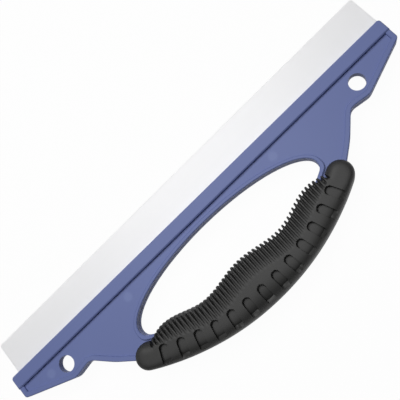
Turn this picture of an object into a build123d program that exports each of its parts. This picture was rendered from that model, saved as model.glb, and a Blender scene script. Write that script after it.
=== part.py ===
from build123d import *
from math import cos, degrees, hypot, pi, radians, sin, sqrt
import os

os.makedirs("parts", exist_ok=True)

# Hand squeegee lying on its back, in millimetres: X runs along the blade, Y towards the
# wiping edge and Z out of the front face. The origin is the centre of the whole outline,
# on the seam plane between the front and back halves.
overall_depth = 98.7
bar_length = 310.0
bar_width = 8.6
bar_thickness = 10.6
bar_corner_radius = 1.8
bar_edge_bevel = 0.7

# Silicone blade: a flat lip on a T-shaped root that the two frame shells trap
blade_length = 305.0
blade_shift = 2.2
blade_reach = 22.0
blade_root_thickness = 3.0
blade_edge_thickness = 2.0
blade_corner_radius = 1.6
root_depth = 7.0
bead_depth = 2.6
bead_thickness = 5.2
blade_fit = 0.05

# Web between the bar and the handle, with a raised rim round its edges
rim_thickness = 8.6
floor_thickness = 5.2
rim_width = 3.2
opening_rim_width = 2.5
rim_edge_bevel = 0.5
seam_chamfer = 0.35

# Ears beyond the handle, with their hanging holes
ear_end_depth = 15.3
ear_end_radius = 2.4
hole_diameter = 10.4
hole_inset = 33.7
hole_drop = 17.3
lobe_offset = 0.2
lobe_drop = 10.7
lobe_radius = 8.0
valley_run = 13.3
valley_rise = 2.1
valley_radius = 6.5

# Hand opening, an ellipse on the bar side and the handle's arc on the other
opening_width = 144.6
opening_strip = 5.2
opening_corner_rise = 3.6
opening_corner_radius = 5.5

# Bowed handle: a hollow core in the frame, inside a soft grip
grip_radius = 170.0
grip_span_angle = 28.2
grip_thickness = 22.0
grip_end_width = 16.6
grip_crown_flat = 2.8
grip_round_flats = 3
core_outer_cover = 6.0
core_inner_cover = 6.5
core_thickness = 14.0
core_wall = 2.4
core_angle = 23.5
neck_angle = 29.2
neck_bulge = 1.7
neck_bulge_radius = 60.0

# Wavy finger side of the grip, as heights above the outermost point of the bow
finger_middle_height = 32.3
finger_waist_height = 29.05
finger_waist_x = 27.8
finger_shoulder_height = 36.0
finger_shoulder_x = 58.5
finger_end_height = 33.7

# Fins on the finger side and recesses on the palm side
fin_count = 51
fin_end_inset_angle = 1.3
fin_gap = 1.35
fin_depth = 2.0
fin_fade_middle_run = 12.5
fin_fade_end_run = 2.5
fin_fade_rise = 4.5
recess_count = 13
recess_pitch_angle = 4.02
recess_width = 5.6
recess_reach = 12.8
recess_depth = 1.8
spine_width = 2.2

# Ribs across the hollow core: each front one reaches between a pair on the back
rib_angle = 14.0
rib_thickness = 1.6
rib_overlap = 3.6
rib_clearance = 0.1

# Places and sizes that follow from the ones above
half_bar = bar_length / 2
bar_half = bar_thickness / 2
rim_half = rim_thickness / 2
floor_half = floor_thickness / 2
core_half = core_thickness / 2
grip_half = grip_thickness / 2
bar_y = overall_depth / 2 - blade_reach
step_y = bar_y - bar_width
arc_y = grip_radius - overall_depth / 2
arc_centre = (0, arc_y)
bow_axis = Axis((0, arc_y, 0), (0, 0, 1))
hole = (half_bar - hole_inset, bar_y - hole_drop)
lobe = (hole[0] - lobe_offset, hole[1] - lobe_drop)
valley = (lobe[0] - valley_run, lobe[1] + valley_rise)
ear_corner = (half_bar, bar_y - ear_end_depth)


def bow_y(radius, x):
    return arc_y - sqrt(radius**2 - x**2)


def bow_point(radius, angle):
    return (radius * sin(radians(angle)), arc_y - radius * cos(radians(angle)))


grip_bottom = -overall_depth / 2
core_outer = grip_radius - core_outer_cover
core_inner = hypot(finger_waist_x, arc_y - grip_bottom - finger_waist_height) + core_inner_cover
core_middle = (core_outer + core_inner) / 2
hollow_angle = core_angle - degrees(core_wall / core_middle)
neck_foot = bow_point(core_outer, neck_angle)
neck_middle = ((valley[0] + neck_foot[0]) / 2 + neck_bulge, (valley[1] + neck_foot[1]) / 2)
hollow_width = core_outer - core_inner - 2 * core_wall
hollow_half = core_half - core_wall
rib_places = [Location((*bow_point(core_middle, a), 0), (0, 0, a)) for a in (-rib_angle, rib_angle)]
rib_step = rib_thickness + rib_clearance
opening_side_y = bow_y(core_inner, opening_width / 2) + opening_corner_rise
opening_top_y = step_y - opening_strip
cap_radius = grip_end_width / 2
cap_bow = grip_radius - cap_radius
cap_centre = bow_point(cap_bow, grip_span_angle)
grip_round = cap_radius - grip_crown_flat
grip_inner = grip_radius - grip_end_width
finger_wave = (
    (0, grip_bottom + finger_middle_height),
    (finger_waist_x, grip_bottom + finger_waist_height),
    (finger_shoulder_x, grip_bottom + finger_shoulder_height),
    (bow_point(grip_inner, grip_span_angle)[0], grip_bottom + finger_end_height),
)
fin_pitch = 2 * bow_point(grip_inner, grip_span_angle - fin_end_inset_angle)[0] / fin_count
gap_places = [(index - fin_count / 2) * fin_pitch for index in range(fin_count + 1)]
fin_places = [x + fin_pitch / 2 for x in gap_places[:-1]]
fin_fade_loss = fin_fade_middle_run - fin_fade_end_run
spine_inner = grip_radius - spine_width
recess_inner = grip_radius - recess_reach
recess_half = recess_width / 2


def hand_opening(grow):
    half_width = opening_width / 2 + grow
    corner = (half_width, bow_y(core_inner + grow, half_width))
    with BuildSketch() as opening:
        with BuildLine():
            top = EllipticalCenterArc(
                (0, opening_side_y),
                half_width,
                opening_top_y + grow - opening_side_y,
                arc_size=90,
            )
            Line(top @ 0, corner)
            bow = ThreePointArc(
                corner,
                (half_width / 2, bow_y(core_inner + grow, half_width / 2)),
                bow_point(core_inner + grow, 0),
            )
            Line(bow @ 1, top @ 1)
        make_face()
        fillet(opening.vertices().sort_by_distance(corner)[:1], radius=opening_corner_radius)
        mirror(about=Plane.YZ)
    return opening.sketch


def bow_band(inner, outer, half_angle):
    with BuildSketch() as band:
        with BuildLine():
            near = CenterArc(arc_centre, inner, -90 - half_angle, 2 * half_angle)
            far = CenterArc(arc_centre, outer, -90 - half_angle, 2 * half_angle)
            Line(near @ 0, far @ 0)
            Line(near @ 1, far @ 1)
        make_face()
    return band.sketch


def flip(point):
    return (-point[0], point[1])


def finger_y(x):
    y = finger_wave[0][1]
    for (near_x, near_y), (far_x, far_y) in zip(finger_wave, finger_wave[1:]):
        share = min(max((abs(x) - near_x) / (far_x - near_x), 0), 1)
        y += (far_y - near_y) * (1 - cos(pi * share)) / 2
    return y


def round_corner(width, height, radius):
    angles = [radians(90 * flat / grip_round_flats) for flat in range(grip_round_flats + 1)]
    return [(width + radius * (cos(a) - 1), height + radius * (sin(a) - 1)) for a in angles]


# Outline of the frame: bar, ears and the core of the handle
with BuildSketch() as frame_outline:
    with BuildLine():
        Polyline((0, bar_y), (half_bar, bar_y), ear_corner, lobe, valley, neck_middle, neck_foot)
        bow = ThreePointArc(
            neck_foot, bow_point(core_outer, neck_angle / 2), bow_point(core_outer, 0)
        )
        Line(bow @ 1, (0, bar_y))
    make_face()
    for corner, radius in (
        ((half_bar, bar_y), bar_corner_radius),
        (ear_corner, ear_end_radius),
        (lobe, lobe_radius),
        (valley, valley_radius),
        (neck_middle, neck_bulge_radius),
    ):
        fillet(frame_outline.vertices().sort_by_distance(corner)[:1], radius=radius)
    mirror(about=Plane.YZ)

with BuildSketch() as pocket_outline:
    add(frame_outline.sketch)
    offset(amount=-rim_width, mode=Mode.REPLACE)
    add(hand_opening(opening_rim_width), mode=Mode.SUBTRACT)
    with Locations((0, step_y)):
        Rectangle(bar_length, bar_length, align=(Align.CENTER, Align.MIN), mode=Mode.SUBTRACT)
    add(bow_band(core_inner, core_outer, core_angle), mode=Mode.SUBTRACT)

# One half of the frame before its inside is cut: bar, rimmed web and handle core
with BuildPart() as shell_blank:
    with BuildSketch():
        add(frame_outline.sketch)
        add(hand_opening(0), mode=Mode.SUBTRACT)
    extrude(amount=rim_half)
    with BuildSketch(Plane.XY.offset(floor_half)):
        add(pocket_outline.sketch)
    extrude(amount=rim_half, mode=Mode.SUBTRACT)
    chamfer(shell_blank.edges().group_by(Axis.Z)[-1], length=rim_edge_bevel)
    with BuildSketch() as bar_outline:
        with Locations((0, bar_y)):
            Rectangle(bar_length, bar_width, align=(Align.CENTER, Align.MAX))
        fillet(bar_outline.vertices().group_by(Axis.Y)[-1], radius=bar_corner_radius)
    extrude(amount=bar_half)
    chamfer(shell_blank.edges().group_by(Axis.Z)[-1], length=bar_edge_bevel)
    with BuildSketch():
        add(bow_band(core_inner, core_outer, core_angle))
    extrude(amount=core_half)

# Blade root and lip, one silicone strip that bends where it leaves the bar
with BuildPart() as blade_root:
    with BuildSketch(Plane.YZ.offset(blade_shift)):
        with Locations((bar_y, 0)):
            Rectangle(root_depth, blade_root_thickness, align=(Align.MAX, Align.CENTER))
        with Locations((bar_y - root_depth, 0)):
            Rectangle(bead_depth, bead_thickness, align=(Align.MIN, Align.CENTER))
    extrude(amount=blade_length / 2, both=True)

with BuildPart() as blade_lip:
    with BuildSketch(Plane.YZ.offset(blade_shift)):
        with BuildLine():
            Polyline(
                (bar_y, -blade_root_thickness / 2),
                (overall_depth / 2, -blade_edge_thickness / 2),
                (overall_depth / 2, blade_edge_thickness / 2),
                (bar_y, blade_root_thickness / 2),
                close=True,
            )
        make_face()
    extrude(amount=blade_length / 2, both=True)
    fillet(
        blade_lip.edges().filter_by(Axis.Z).group_by(Axis.Y)[-1],
        radius=blade_corner_radius,
    )

with BuildPart() as blade_slot:
    with BuildSketch(Plane.YZ):
        with Locations((bar_y, 0)):
            Rectangle(2 * root_depth, blade_root_thickness + 2 * blade_fit)
        with Locations((bar_y - root_depth - blade_fit, 0)):
            Rectangle(
                bead_depth + 2 * blade_fit,
                bead_thickness + 2 * blade_fit,
                align=(Align.MIN, Align.CENTER),
            )
    extrude(amount=bar_length, both=True)

# Soft grip, front half: a bent bar with domed ends and a block of fins along its finger side
grip_side = [(cap_radius, 0), *round_corner(cap_radius, grip_half, grip_round)]

with BuildPart() as grip_bar:
    with BuildSketch(Plane.YZ):
        with Locations((arc_y - cap_bow, 0)):
            Polygon(*grip_side, *[flip(point) for point in reversed(grip_side)], align=None)
    revolve(axis=bow_axis, revolution_arc=grip_span_angle)
    with BuildSketch(Plane.XZ.offset(-cap_centre[1])):
        with Locations((cap_centre[0], 0)):
            Polygon((0, 0), *grip_side, (0, grip_half), align=None)
    revolve(axis=Axis((*cap_centre, 0), (0, 0, 1)))
    mirror(about=Plane.YZ)

with BuildPart() as finger_fins:
    for x in fin_places:
        with BuildSketch(Plane.YZ.offset(x)):
            Polygon(
                (grip_bottom, 0),
                (finger_y(x), 0),
                *round_corner(finger_y(x), grip_half, grip_round),
                (grip_bottom, grip_half),
                align=None,
            )
        extrude(amount=fin_pitch / 2, both=True)
    with BuildSketch():
        with Locations(arc_centre):
            Circle(cap_bow)
    extrude(amount=grip_half, mode=Mode.INTERSECT)

# Gaps between the fins, whose floors fade out on the front face, sooner towards the ends
with BuildPart() as fin_gaps:
    for x in gap_places:
        floor_y = finger_y(x) - fin_depth
        fade_y = floor_y - fin_fade_middle_run + fin_fade_loss * abs(x) / gap_places[-1]
        with BuildSketch(Plane.YZ.offset(x)):
            Polygon(
                (floor_y, 0),
                (floor_y, grip_half - fin_fade_rise),
                (fade_y, grip_half),
                (fade_y, grip_thickness),
                (floor_y + grip_thickness, grip_thickness),
                (floor_y + grip_thickness, 0),
                align=None,
            )
        extrude(amount=fin_gap / 2, both=True)

# Palm recesses, round-ended slots whose floor follows the grip's surface up to the spine
recess_side = round_corner(cap_radius - recess_depth, grip_half - recess_depth, grip_round - recess_depth)

recess_end = [flip(point) for point in round_corner(0, recess_half, recess_half)]
recess_edge = [*recess_end, (grip_end_width, recess_half)]

with BuildPart() as recess_floor:
    with BuildSketch(Plane.YZ):
        with Locations((arc_y - cap_bow, 0)):
            Polygon(
                (grip_end_width, 0),
                (recess_depth - cap_radius, 0),
                *[flip(point) for point in recess_side],
                (grip_end_width, grip_half - recess_depth),
                align=None,
            )
    revolve(axis=bow_axis, revolution_arc=grip_span_angle)
    mirror(about=Plane.YZ)

with BuildPart() as recesses:
    with BuildSketch():
        with Locations(arc_centre):
            with PolarLocations(
                recess_inner,
                recess_count,
                start_angle=-90 - recess_pitch_angle * (recess_count - 1) / 2,
                angular_range=recess_pitch_angle * (recess_count - 1),
                endpoint=True,
            ):
                Polygon(*recess_edge, *[(x, -y) for x, y in reversed(recess_edge[1:])], align=None)
            Circle(spine_inner, mode=Mode.INTERSECT)
    extrude(amount=grip_thickness)
    add(recess_floor.part, mode=Mode.SUBTRACT)

with BuildPart() as grip_skin:
    add(grip_bar.part)
    add(finger_fins.part)
    add(fin_gaps.part, mode=Mode.SUBTRACT)
    add(recesses.part, mode=Mode.SUBTRACT)
    add(shell_blank.part, mode=Mode.SUBTRACT)

with BuildPart() as front_grip:
    add(grip_skin.part)

with BuildPart() as back_grip:
    mirror(grip_skin.part, about=Plane.XY)

# Hollow frame shells, located on each other by the ribs in the handle
with BuildPart() as shell_half:
    add(shell_blank.part)
    chamfer(shell_half.faces().sort_by(Axis.Z)[0].edges(), length=seam_chamfer)
    add(blade_slot.part, mode=Mode.SUBTRACT)
    with BuildSketch():
        with Locations(hole, flip(hole)):
            Circle(hole_diameter / 2)
    extrude(amount=bar_half, mode=Mode.SUBTRACT)
    with BuildSketch():
        add(bow_band(core_inner + core_wall, core_outer - core_wall, hollow_angle))
    extrude(amount=hollow_half, mode=Mode.SUBTRACT)

with BuildPart() as front_frame_shell:
    add(shell_half.part)
    with BuildSketch():
        with Locations(*rib_places):
            Rectangle(rib_thickness, hollow_width + core_wall)
    extrude(amount=hollow_half + core_wall / 2)
    with BuildSketch():
        with Locations(*rib_places):
            Rectangle(rib_thickness, hollow_width - 2 * rib_clearance)
    extrude(amount=-rib_overlap)

with BuildPart() as back_frame_shell:
    mirror(shell_half.part, about=Plane.XY)
    with BuildSketch():
        with Locations(*rib_places):
            with Locations((-rib_step, 0), (rib_step, 0)):
                Rectangle(rib_thickness, hollow_width + core_wall)
    extrude(amount=-hollow_half - core_wall / 2)

for name, piece in (
    ("front_frame_shell", front_frame_shell),
    ("back_frame_shell", back_frame_shell),
    ("front_grip", front_grip),
    ("back_grip", back_grip),
    ("blade_root", blade_root),
    ("blade_lip", blade_lip),
):
    piece.part.label = name
    export_step(piece.part, f"parts/{name}.step")
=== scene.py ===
import math

import bmesh
import bpy
import numpy as np
from mathutils import Matrix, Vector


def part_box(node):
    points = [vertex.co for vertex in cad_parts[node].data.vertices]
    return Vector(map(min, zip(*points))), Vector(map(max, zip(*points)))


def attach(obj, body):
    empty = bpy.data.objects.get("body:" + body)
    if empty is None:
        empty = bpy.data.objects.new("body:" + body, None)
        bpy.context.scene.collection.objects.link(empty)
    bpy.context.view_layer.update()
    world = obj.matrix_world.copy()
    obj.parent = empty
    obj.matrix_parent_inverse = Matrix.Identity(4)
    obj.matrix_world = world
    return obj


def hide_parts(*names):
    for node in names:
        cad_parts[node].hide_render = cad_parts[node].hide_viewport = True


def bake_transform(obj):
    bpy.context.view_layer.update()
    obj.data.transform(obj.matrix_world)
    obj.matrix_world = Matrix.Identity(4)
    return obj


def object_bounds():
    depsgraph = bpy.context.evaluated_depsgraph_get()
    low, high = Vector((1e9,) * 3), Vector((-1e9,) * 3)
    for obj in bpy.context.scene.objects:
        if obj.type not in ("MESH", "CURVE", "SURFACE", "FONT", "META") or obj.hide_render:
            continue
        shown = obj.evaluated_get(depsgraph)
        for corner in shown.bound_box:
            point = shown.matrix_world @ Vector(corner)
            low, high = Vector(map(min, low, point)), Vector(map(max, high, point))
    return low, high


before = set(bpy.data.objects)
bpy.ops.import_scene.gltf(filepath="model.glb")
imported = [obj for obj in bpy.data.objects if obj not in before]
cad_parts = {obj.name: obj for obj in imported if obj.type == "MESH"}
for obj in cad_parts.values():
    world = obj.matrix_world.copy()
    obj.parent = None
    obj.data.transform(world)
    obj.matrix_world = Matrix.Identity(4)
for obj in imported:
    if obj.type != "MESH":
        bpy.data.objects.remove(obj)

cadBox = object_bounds()
mm = 0.001
print("frame loaded:", sorted(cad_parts))


def srgbToLinear(hexColour):
    parts = [int(hexColour[i:i + 2], 16) / 255 for i in (1, 3, 5)]
    return [c / 12.92 if c <= 0.04045 else ((c + 0.055) / 1.055) ** 2.4 for c in parts] + [1.0]


def addNode(tree, kind, inputs=None, **settings):
    node = tree.nodes.new(kind)
    for name, value in settings.items():
        setattr(node, name, value)
    for name, value in (inputs or {}).items():
        if isinstance(value, bpy.types.NodeSocket):
            tree.links.new(value, node.inputs[name])
        else:
            node.inputs[name].default_value = value
    return node


def newMaterial(name):
    material = bpy.data.materials.new(name)
    material.use_nodes = True
    material.node_tree.nodes.clear()
    return material, material.node_tree


meshing = {
    "weldGap": 0.001,    # mm
    "sharpAngle": 38.0,  # degrees, edges that turn more than this stay crisp
}


def addMesh(name, points, faces, material):
    mesh = bpy.data.meshes.new(name)
    mesh.from_pydata([tuple(p) for p in points], [], faces)
    form = bmesh.new()
    form.from_mesh(mesh)
    bmesh.ops.remove_doubles(form, verts=form.verts, dist=meshing["weldGap"] * mm)
    bmesh.ops.recalc_face_normals(form, faces=form.faces)
    form.to_mesh(mesh)
    form.free()
    mesh.polygons.foreach_set("use_smooth", [True] * len(mesh.polygons))
    mesh.set_sharp_from_angle(angle=math.radians(meshing["sharpAngle"]))
    mesh.materials.append(material)
    piece = bpy.data.objects.new(name, mesh)
    bpy.context.scene.collection.objects.link(piece)
    return piece


def smoothStep(low, high, value):
    share = np.clip((value - low) / (high - low), 0, 1)
    return share * share * (3 - 2 * share)


# Polypropylene, injection moulded: satin, with a faint flow mottle, a very fine spark-eroded grain
# and three faint ejector marks on the front of the web
frameFinish = {
    "colour": "#6F7BAB",
    "flowColour": "#6A75A6",
    "flowSize": 45.0,       # mm
    "flowDetail": 2.0,
    "grainSize": 0.7,       # mm, coarser than the real 0.1 mm so that it shows
    "grainDetail": 3.0,
    "grainHeight": 0.012,   # mm
    "grainStrength": 0.25,
    "roughness": (0.40, 0.52),
    "specular": 0.15,
    "markColour": "#7581B0",
    "markRadius": 3.6,      # mm
    "markEdge": 1.6,        # mm over which a mark fades out
    "markPlaces": ((57.0, 13.35, 2.6), (-64.5, 13.35, 2.6), (-133.0, 12.35, 2.6)),  # mm
}


def mouldedPolypropylene(s):
    material, tree = newMaterial("mouldedPolypropyleneBlue")
    place = addNode(tree, "ShaderNodeTexCoord").outputs["Object"]
    flow = addNode(tree, "ShaderNodeTexNoise",
                   {"Vector": place, "Scale": 1 / (s["flowSize"] * mm), "Detail": s["flowDetail"]})
    colour = addNode(tree, "ShaderNodeMix",
                     {"Factor": flow.outputs["Fac"], "A": srgbToLinear(s["flowColour"]),
                      "B": srgbToLinear(s["colour"])}, data_type="RGBA")
    for centre in s["markPlaces"]:
        away = addNode(tree, "ShaderNodeVectorMath",
                       {0: place, 1: [c * mm for c in centre]}, operation="DISTANCE")
        inside = addNode(tree, "ShaderNodeMapRange",
                         {"Value": away.outputs["Value"], "From Min": s["markRadius"] * mm,
                          "From Max": (s["markRadius"] - s["markEdge"]) * mm})
        colour = addNode(tree, "ShaderNodeMix",
                         {"Factor": inside.outputs["Result"], "A": colour.outputs["Result"],
                          "B": srgbToLinear(s["markColour"])}, data_type="RGBA")
    grain = addNode(tree, "ShaderNodeTexNoise",
                    {"Vector": place, "Scale": 1 / (s["grainSize"] * mm),
                     "Detail": s["grainDetail"]})
    rough = addNode(tree, "ShaderNodeMapRange",
                    {"Value": grain.outputs["Fac"], "To Min": s["roughness"][0],
                     "To Max": s["roughness"][1]})
    bump = addNode(tree, "ShaderNodeBump",
                   {"Height": grain.outputs["Fac"], "Strength": s["grainStrength"],
                    "Distance": s["grainHeight"] * mm})
    shader = addNode(tree, "ShaderNodeBsdfPrincipled",
                     {"Base Color": colour.outputs["Result"], "Roughness": rough.outputs["Result"],
                      "Specular IOR Level": s["specular"], "Normal": bump.outputs["Normal"]})
    addNode(tree, "ShaderNodeOutputMaterial", {"Surface": shader.outputs["BSDF"]})
    return material


# Thermoplastic rubber, moulded over the core: dull charcoal with a fine powdery bloom
gripFinish = {
    "colour": "#1E1E1E",
    "bloomColour": "#262625",
    "bloomSize": 6.0,    # mm
    "bloomDetail": 4.0,
    "gritSize": 0.5,     # mm, coarser than the real grit so that it shows
    "gritDetail": 3.0,
    "gritHeight": 0.03,  # mm
    "gritStrength": 0.4,
    "roughness": 0.58,
    "specular": 0.53,
}


def mouldedRubber(s):
    material, tree = newMaterial("mouldedThermoplasticRubber")
    place = addNode(tree, "ShaderNodeTexCoord").outputs["Object"]
    bloom = addNode(tree, "ShaderNodeTexNoise",
                    {"Vector": place, "Scale": 1 / (s["bloomSize"] * mm),
                     "Detail": s["bloomDetail"]})
    colour = addNode(tree, "ShaderNodeMix",
                     {"Factor": bloom.outputs["Fac"], "A": srgbToLinear(s["colour"]),
                      "B": srgbToLinear(s["bloomColour"])}, data_type="RGBA")
    grit = addNode(tree, "ShaderNodeTexNoise",
                   {"Vector": place, "Scale": 1 / (s["gritSize"] * mm),
                    "Detail": s["gritDetail"]})
    bump = addNode(tree, "ShaderNodeBump",
                   {"Height": grit.outputs["Fac"], "Strength": s["gritStrength"],
                    "Distance": s["gritHeight"] * mm})
    shader = addNode(tree, "ShaderNodeBsdfPrincipled",
                     {"Base Color": colour.outputs["Result"], "Roughness": s["roughness"],
                      "Specular IOR Level": s["specular"], "Normal": bump.outputs["Normal"]})
    addNode(tree, "ShaderNodeOutputMaterial", {"Surface": shader.outputs["BSDF"]})
    return material


# Silicone rubber, extruded and cut: milky, lets some light through, faint lines along its length
bladeFinish = {
    "colour": "#F8F8FA",
    "lineColour": "#F6F6F8",
    "lineSpacing": 1.6,   # mm
    "lineLength": 120.0,  # mm
    "lineDetail": 3.0,
    "lineHeight": 0.01,   # mm
    "lineStrength": 0.2,
    "roughness": 0.35,
    "ior": 1.41,
    "scatter": 0.35,
    "scatterDepth": 1.5,  # mm
}


def extrudedSilicone(s):
    material, tree = newMaterial("extrudedSiliconeRubber")
    place = addNode(tree, "ShaderNodeTexCoord").outputs["Object"]
    stretched = addNode(tree, "ShaderNodeMapping",
                        {"Vector": place,
                         "Scale": (s["lineSpacing"] / s["lineLength"], 1.0, 1.0)})
    lines = addNode(tree, "ShaderNodeTexNoise",
                    {"Vector": stretched.outputs["Vector"],
                     "Scale": 1 / (s["lineSpacing"] * mm), "Detail": s["lineDetail"]})
    colour = addNode(tree, "ShaderNodeMix",
                     {"Factor": lines.outputs["Fac"], "A": srgbToLinear(s["lineColour"]),
                      "B": srgbToLinear(s["colour"])}, data_type="RGBA")
    bump = addNode(tree, "ShaderNodeBump",
                   {"Height": lines.outputs["Fac"], "Strength": s["lineStrength"],
                    "Distance": s["lineHeight"] * mm})
    shader = addNode(tree, "ShaderNodeBsdfPrincipled",
                     {"Base Color": colour.outputs["Result"], "Roughness": s["roughness"],
                      "IOR": s["ior"], "Subsurface Weight": s["scatter"],
                      "Subsurface Radius": (1.0, 1.0, 1.0),
                      "Subsurface Scale": s["scatterDepth"] * mm,
                      "Normal": bump.outputs["Normal"]})
    addNode(tree, "ShaderNodeOutputMaterial", {"Surface": shader.outputs["BSDF"]})
    return material


framePlastic = mouldedPolypropylene(frameFinish)
gripRubber = mouldedRubber(gripFinish)
bladeSilicone = extrudedSilicone(bladeFinish)
print("materials made")

# Frame shells: the CAD solids as they are, in the blue plastic
for node in ("front_frame_shell", "back_frame_shell"):
    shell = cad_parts[node]
    shell.data.materials.clear()
    shell.data.materials.append(framePlastic)
print("frame shells painted")

# Soft grip, both halves as one moulding: sizes in mm
grip = {
    "bowRadius": 170.0,
    "endAngle": 28.2,           # degrees along the bow from the middle to the centre of an end
    "endWidth": 16.6,
    "waveX": (0.0, 27.8, 58.5),         # crest, valley and shoulder of the finger side
    "waveHeight": (32.3, 29.05, 36.0),  # over the lowest point of the bow
    "waveEndHeight": 33.7,
    "finCount": 51,
    "finEndInset": 1.3,         # degrees from the last gap to the end of the bar
    "finColumns": 10,
    "finDepth": (2.0, 3.2),     # at the edge and over the front
    "gapRamp": (0.17, 0.33),    # shares of the pitch over which a fin's side falls
    "fadeStart": 3.0,           # from the edge
    "fadeMiddle": 15.0,         # how far the gaps run over the front at the middle
    "fadeEnd": 4.5,             # and at the ends
    "fadeTurn": 7.0,            # the higher, the nearer the ends the gaps grow short
    "endColumns": 14,
    "rows": 46,                 # from the seam to the crown, on each side
    "turnRadius": 157.5,        # where the columns turn from the fins' direction to the bow's
    "sectionSamples": 400,
    "fingerPower": (3.2, 6.0),  # squareness of the section at the ends and the middle
    "palmPower": (6.5, 3.2),
    "palmStart": 1 / 3,         # share of the width beyond which recesses are cut
    "recessCount": 13,
    "recessPitch": 4.02,        # degrees
    "recessWidth": 5.6,
    "recessReach": 12.8,
    "recessDepth": 2.6,
    "recessWall": 0.4,          # run of the wall at the round end and at the spine
    "recessSide": 163.0,        # bow radius at which the width is measured
    "sideRun": 0.04,            # between the two columns at a recess's side
    "sideFall": 0.01,           # run of the wall between them
    "spineWidth": 1.4,
    "seamDepth": 0.25,
    "seamWidth": 0.3,
    "capColumns": 28,
}


def waveHeight(x, stations):
    y = np.full_like(x, stations[0][1])
    for (nearX, nearY), (farX, farY) in zip(stations, stations[1:]):
        share = np.clip((np.abs(x) - nearX) / (farX - nearX), 0, 1)
        y = y + (farY - nearY) * (1 - np.cos(math.pi * share)) / 2
    return y


def gripColumns(s, lowY, centreY):
    def bowX(radius, angle):
        return radius * math.sin(math.radians(angle))

    def bowY(radius, x):
        return centreY - np.sqrt(radius ** 2 - x ** 2)

    # columns across the fins, then the end of the bar on each side
    inner = s["bowRadius"] - s["endWidth"]
    lastGap = bowX(inner, s["endAngle"] - s["finEndInset"])
    pitch = 2 * lastGap / s["finCount"]
    stations = [(x, lowY + h) for x, h in zip(s["waveX"], s["waveHeight"])]
    stations.append((bowX(inner, s["endAngle"]), lowY + s["waveEndHeight"]))
    finX = np.linspace(-lastGap, lastGap, s["finCount"] * s["finColumns"] + 1)
    fromGap = np.abs((finX / pitch) % 1 - 0.5)
    edge = np.stack([finX, waveHeight(finX, stations)], 1)
    share = np.arange(1, s["endColumns"] + 1) / s["endColumns"]
    endX = lastGap + (bowX(inner, s["endAngle"]) - lastGap) * share
    turnX = lastGap + (bowX(s["turnRadius"], s["endAngle"]) - lastGap) * share
    endEdge = np.stack([endX, bowY(inner, endX)], 1)
    endGap = (endX - lastGap) / pitch
    mirrorX = np.array([-1, 1])
    edge = np.concatenate([endEdge[::-1] * mirrorX, edge, endEdge])
    turnX = np.concatenate([-turnX[::-1], finX, turnX])

    # two columns stand close together at each side of a recess, to make its wall upright
    last = s["recessCount"] // 2
    half = math.degrees(s["recessWidth"] / 2 / s["recessSide"])
    for index in range(-last, last + 1):
        for way in (-1, 1):
            x = bowX(s["turnRadius"], index * s["recessPitch"] + way * half)
            after = np.searchsorted(turnX, x)
            turnX[[after - 1, after]] = x - s["sideRun"] / 2, x + s["sideRun"] / 2
    turn = np.stack([turnX, bowY(s["turnRadius"], turnX)], 1)
    fromGap = np.concatenate([endGap[::-1], fromGap, endGap])
    gap = 1 - smoothStep(*s["gapRamp"], fromGap)
    return edge, turn, gap, lastGap


def recessSink(s, flat, centre):
    # slots that are round at the inner end and stopped by the spine
    away = flat - centre
    radius = np.linalg.norm(away, axis=1)
    angle = np.degrees(np.arctan2(away[:, 0], -away[:, 1]))
    last = s["recessCount"] // 2
    index = np.clip(np.round(angle / s["recessPitch"]), -last, last)
    aside = s["recessSide"] * np.radians(angle - index * s["recessPitch"])
    heart = s["bowRadius"] - s["recessReach"] + s["recessWidth"] / 2
    inside = s["recessWidth"] / 2 - np.hypot(aside, np.maximum(heart - radius, 0))
    sunk = smoothStep(0, np.where(radius < heart, s["recessWall"], s["sideFall"]), inside)
    sunk *= smoothStep(0, s["recessWall"], s["bowRadius"] - s["spineWidth"] - radius)
    return s["recessDepth"] * sunk


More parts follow.
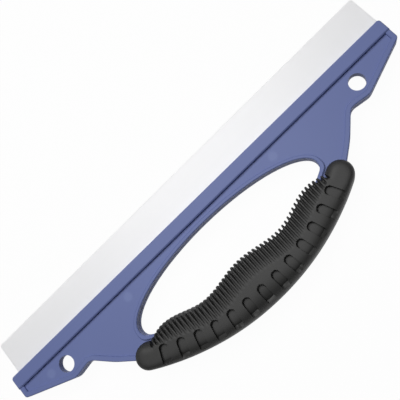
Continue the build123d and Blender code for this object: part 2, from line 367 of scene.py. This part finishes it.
def gripSections(s, edge, turn, gap, lastGap, centre, thickness):
    # one rounded section per column, resampled to even rows
    fingerRun = np.linalg.norm(turn - edge, axis=1)
    width = fingerRun + s["bowRadius"] - s["turnRadius"]
    outward = (turn - centre) / np.linalg.norm(turn - centre, axis=1)[:, None]
    endHalf = s["endWidth"] / 2
    broad = np.clip((width / 2 - endHalf) / (width.max() / 2 - endHalf), 0, 1)
    plan = np.zeros((len(edge), 2 * s["rows"] + 1, 2))
    height = np.zeros((len(edge), 2 * s["rows"] + 1))
    angles = np.linspace(0, math.pi / 2, s["sectionSamples"])

    def halfSection(half, power):
        inset = half * (1 - np.cos(angles) ** (2 / power))
        rise = thickness * np.sin(angles) ** (2 / power)
        length = np.concatenate([[0], np.cumsum(np.hypot(np.diff(inset), np.diff(rise)))])
        places = np.concatenate([[0], np.linspace(s["seamWidth"], length[-1], s["rows"])])
        return np.interp(places, length, inset), np.interp(places, length, rise)

    for i in range(len(edge)):
        fingerPower = np.interp(broad[i], (0, 1), s["fingerPower"])
        palmPower = np.interp(broad[i], (0, 1), s["palmPower"])
        inset, rise = halfSection(width[i] / 2, fingerPower)
        palmInset, palmRise = halfSection(width[i] / 2, palmPower)
        across = np.concatenate([inset, width[i] - palmInset[-2::-1]])
        up = np.concatenate([rise, palmRise[-2::-1]])
        normal = np.stack([-np.gradient(up), np.gradient(across)], 1)
        normal[0] = (-1, 0)
        normal[-1] = (1, 0)
        normal /= np.linalg.norm(normal, axis=1)[:, None]
        onFinger = (across < fingerRun[i])[:, None]
        inward = (turn[i] - edge[i]) / fingerRun[i]
        flat = np.where(onFinger, edge[i] + np.outer(across, inward),
                        turn[i] + np.outer(across - fingerRun[i], outward[i]))
        steer = np.where(onFinger, inward, outward[i])
        endShare = min(abs(edge[i][0]) / lastGap, 1) ** s["fadeTurn"]
        fade = s["fadeMiddle"] + (s["fadeEnd"] - s["fadeMiddle"]) * endShare
        depth = np.interp(across, (0, s["fadeStart"]), s["finDepth"])
        sink = gap[i] * depth * (1 - smoothStep(s["fadeStart"], fade, across))
        onPalm = across > width[i] * s["palmStart"]
        sink = np.where(onPalm, np.maximum(sink, recessSink(s, flat, centre)), sink)
        sink[[0, -1]] += s["seamDepth"]
        plan[i] = flat - steer * (normal[:, :1] * sink[:, None])
        height[i] = np.maximum(up - normal[:, 1] * sink, 0)
    height[:, [0, -1]] = 0
    return plan, height


def buildGrip(s):
    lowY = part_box("front_grip")[0].y / mm
    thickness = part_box("front_grip")[1].z / mm
    centre = np.array([0.0, lowY + s["bowRadius"]])
    edge, turn, gap, lastGap = gripColumns(s, lowY, centre[1])
    plan, height = gripSections(s, edge, turn, gap, lastGap, centre, thickness)

    # each end turns about the crown, from the last finger half-section to the last palm one
    points, faces = [], []
    crown = s["rows"]

    def addRow(flat, up):
        first = len(points)
        points.extend((x, y, z) for (x, y), z in zip(flat, up))
        return list(range(first, len(points)))

    def capRows(flat, up, side):
        arm = np.linalg.norm(flat - flat[crown], axis=1)
        heading = math.atan2(*(flat[0] - flat[crown])[::-1])
        for share in np.linspace(0, 1, s["capColumns"] + 1):
            reach = arm[:crown + 1] * (1 - share) + arm[:crown - 1:-1] * share
            swing = heading + side * math.pi * share
            rise = up[:crown + 1] * (1 - share) + up[:crown - 1:-1] * share
            yield flat[crown] + np.outer(reach, (math.cos(swing), math.sin(swing))), rise

    def addSheet(rows):
        for near, far in zip(rows, rows[1:]):
            for j in range(len(near) - 1):
                faces.append((near[j], far[j], far[j + 1], near[j + 1]))

    for sign in (1, -1):
        addSheet([addRow(flat, sign * up) for flat, up in zip(plan, height)])
        for column, side in ((0, 1), (-1, -1)):
            rows = capRows(plan[column], height[column], side)
            addSheet([addRow(flat, sign * up) for flat, up in rows])
    return np.array(points) * mm, faces


points, faces = buildGrip(grip)
gripPiece = addMesh("softGrip", points, faces, gripRubber)
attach(gripPiece, "frame")
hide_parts("front_grip", "back_grip")
print("grip built:", len(points), "points")

# Silicone blade: one strip from its T-shaped root in the bar to the wiping edge, in mm
blade = {
    "rootDepth": 7.0,
    "beadDepth": 2.6,
    "beadThickness": 5.2,
    "rootThickness": 3.0,
    "edgeThickness": 2.0,
    "edgeRound": 0.35,
    "edgeArc": (30, 60, 90),  # degrees
    "cornerRadius": 1.6,
    "cornerStep": 15,         # degrees
    "rowSpacing": 0.8,
    "stations": 60,
    "bendRun": 14.0,          # mm, over which the real lip turns when it leans
}


def buildBlade(s):
    low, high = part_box("blade_lip")
    left, right = low.x / mm, high.x / mm
    mouth, tip = low.y / mm, high.y / mm
    beadFoot = mouth - s["rootDepth"]
    neck = beadFoot + s["beadDepth"]
    rootHalf = s["rootThickness"] / 2
    edgeHalf = s["edgeThickness"] / 2
    lipRows = int((tip - s["edgeRound"] - mouth) / s["rowSpacing"])
    beadHalf = s["beadThickness"] / 2
    side = [(beadFoot, 0), (beadFoot, beadHalf), (neck, beadHalf), (neck, rootHalf)]
    for k in range(lipRows + 1):
        y = mouth + (tip - s["edgeRound"] - mouth) * k / lipRows
        side.append((y, rootHalf + (edgeHalf - rootHalf) * (y - mouth) / (tip - mouth)))
    for angle in s["edgeArc"]:
        a = math.radians(angle)
        side.append((tip - s["edgeRound"] + s["edgeRound"] * math.sin(a),
                     edgeHalf - s["edgeRound"] + s["edgeRound"] * math.cos(a)))
    loop = side + [(y, -z) for y, z in reversed(side[1:])]

    # stations crowd into the rounded corners at both ends
    radius = s["cornerRadius"]
    corner = [radius * (1 - math.cos(math.radians(a))) for a in range(0, 90, s["cornerStep"])]
    middle = list(np.linspace(left + radius, right - radius, s["stations"]))
    places = [left + c for c in corner] + middle + [right - c for c in reversed(corner)]
    points, faces = [], []
    for x in places:
        into = max(radius - min(x - left, right - x), 0)
        cut = radius - math.sqrt(radius ** 2 - into ** 2)
        for y, z in loop:
            lip = max(y - mouth, 0) / (tip - mouth)
            points.append((x * mm, (y - cut * lip) * mm, z * mm))
    count = len(loop)
    for i in range(len(places) - 1):
        near, far = i * count, (i + 1) * count
        for j in range(count):
            k = (j + 1) % count
            faces.append((near + j, far + j, far + k, near + k))
    faces.append(tuple(range(count)))
    last = (len(places) - 1) * count
    faces.append(tuple(last + j for j in reversed(range(count))))
    return points, faces, mouth


points, faces, mouth = buildBlade(blade)
bladePiece = addMesh("siliconeBlade", points, faces, bladeSilicone)
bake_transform(bladePiece)
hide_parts("blade_root", "blade_lip")
print("blade built:", len(points), "points")

# Floor and low backdrop: one plain white board with a far upright rim, which keeps a faint shadow
floorSettings = {
    "colour": "#D8D8D8",
    "roughness": (0.7, 0.9),
    "grainSize": 2.0,  # mm
    "shadow": 0.03,    # share of the lit board in what is seen
    "drop": 1.0,       # mm under the part
    "radius": 4.0,     # m
    "rimHeight": 1.1,  # m
    "rimSides": 64,
}


def seenRays(tree):
    path = addNode(tree, "ShaderNodeLightPath")
    seen = path.outputs["Is Camera Ray"]
    for ray in ("Is Glossy Ray", "Is Transmission Ray"):
        either = addNode(tree, "ShaderNodeMath", {0: seen, 1: path.outputs[ray]},
                         operation="MAXIMUM")
        seen = either.outputs[0]
    return seen


def buildFloor(s):
    material, tree = newMaterial("paintedBoardWhite")
    place = addNode(tree, "ShaderNodeTexCoord").outputs["Object"]
    grain = addNode(tree, "ShaderNodeTexNoise",
                    {"Vector": place, "Scale": 1 / (s["grainSize"] * mm)})
    rough = addNode(tree, "ShaderNodeMapRange",
                    {"Value": grain.outputs["Fac"], "To Min": s["roughness"][0],
                     "To Max": s["roughness"][1]})
    board = addNode(tree, "ShaderNodeBsdfPrincipled",
                    {"Base Color": srgbToLinear(s["colour"]),
                     "Roughness": rough.outputs["Result"], "Specular IOR Level": 0.0})
    white = addNode(tree, "ShaderNodeEmission", {"Strength": 1.0})
    share = addNode(tree, "ShaderNodeMath", {0: seenRays(tree), 1: 1 - s["shadow"]},
                    operation="MULTIPLY")
    mix = addNode(tree, "ShaderNodeMixShader",
                  {0: share.outputs[0], 1: board.outputs["BSDF"], 2: white.outputs["Emission"]})
    addNode(tree, "ShaderNodeOutputMaterial", {"Surface": mix.outputs["Shader"]})
    level = cadBox[0].z - s["drop"] * mm
    count = s["rimSides"]
    turns = [2 * math.pi * k / count for k in range(count)]
    points = [(s["radius"] * math.cos(a), s["radius"] * math.sin(a), z)
              for z in (level, level + s["rimHeight"]) for a in turns]
    faces = [tuple(range(count))]
    for k in range(count):
        after = (k + 1) % count
        faces.append((k, after, count + after, count + k))
    addMesh("floorBoard", points, faces, material)


buildFloor(floorSettings)

# Studio light: dim surroundings and one broad lamp overhead, on the blade's side
light = {
    "worldStrength": 0.05,
    "lampPlace": (0.0, 0.185, 0.58),  # m
    "lampSize": 0.42,                 # m
    "lampPower": 3.5,                 # W
}


def buildLight(s):
    world = bpy.data.worlds.new("studioSurround")
    bpy.context.scene.world = world
    world.use_nodes = True
    tree = world.node_tree
    tree.nodes.clear()
    dim = addNode(tree, "ShaderNodeBackground",
                  {"Color": (1, 1, 1, 1), "Strength": s["worldStrength"]})
    addNode(tree, "ShaderNodeOutputWorld", {"Surface": dim.outputs["Background"]})
    lamp = bpy.data.lights.new("softLamp", "AREA")
    lamp.energy = s["lampPower"]
    lamp.size = s["lampSize"]
    holder = bpy.data.objects.new("softLamp", lamp)
    holder.location = s["lampPlace"]
    holder.rotation_mode = "QUATERNION"
    holder.rotation_quaternion = holder.location.to_track_quat("Z", "Y")
    bpy.context.scene.collection.objects.link(holder)


buildLight(light)
print("floor and light set")

# Camera at the photographed angle, above the handle, turned so that the blade runs up to the right
view = {
    "place": (0.0389, -0.0666, 0.3351),  # m
    "right": (0.7118, -0.6566, -0.2494),
    "up": (0.6965, 0.7057, 0.1302),
    "back": (0.0905, -0.2663, 0.9596),
    "lens": 51.8,         # mm
    "sensorWidth": 36.0,  # mm
    "shiftX": 0.0024,
    "clipStart": 0.01,    # m
}


def buildCamera(s):
    camera = bpy.data.cameras.new("camera")
    camera.lens = s["lens"]
    camera.sensor_width = s["sensorWidth"]
    camera.shift_x = s["shiftX"]
    camera.clip_start = s["clipStart"]
    holder = bpy.data.objects.new("camera", camera)
    axes = Matrix((s["right"], s["up"], s["back"])).transposed()
    holder.matrix_world = Matrix.Translation(s["place"]) @ axes.to_4x4()
    bpy.context.scene.collection.objects.link(holder)
    bpy.context.scene.camera = holder


buildCamera(view)
bpy.context.scene.view_settings.view_transform = "Standard"
print("camera placed")
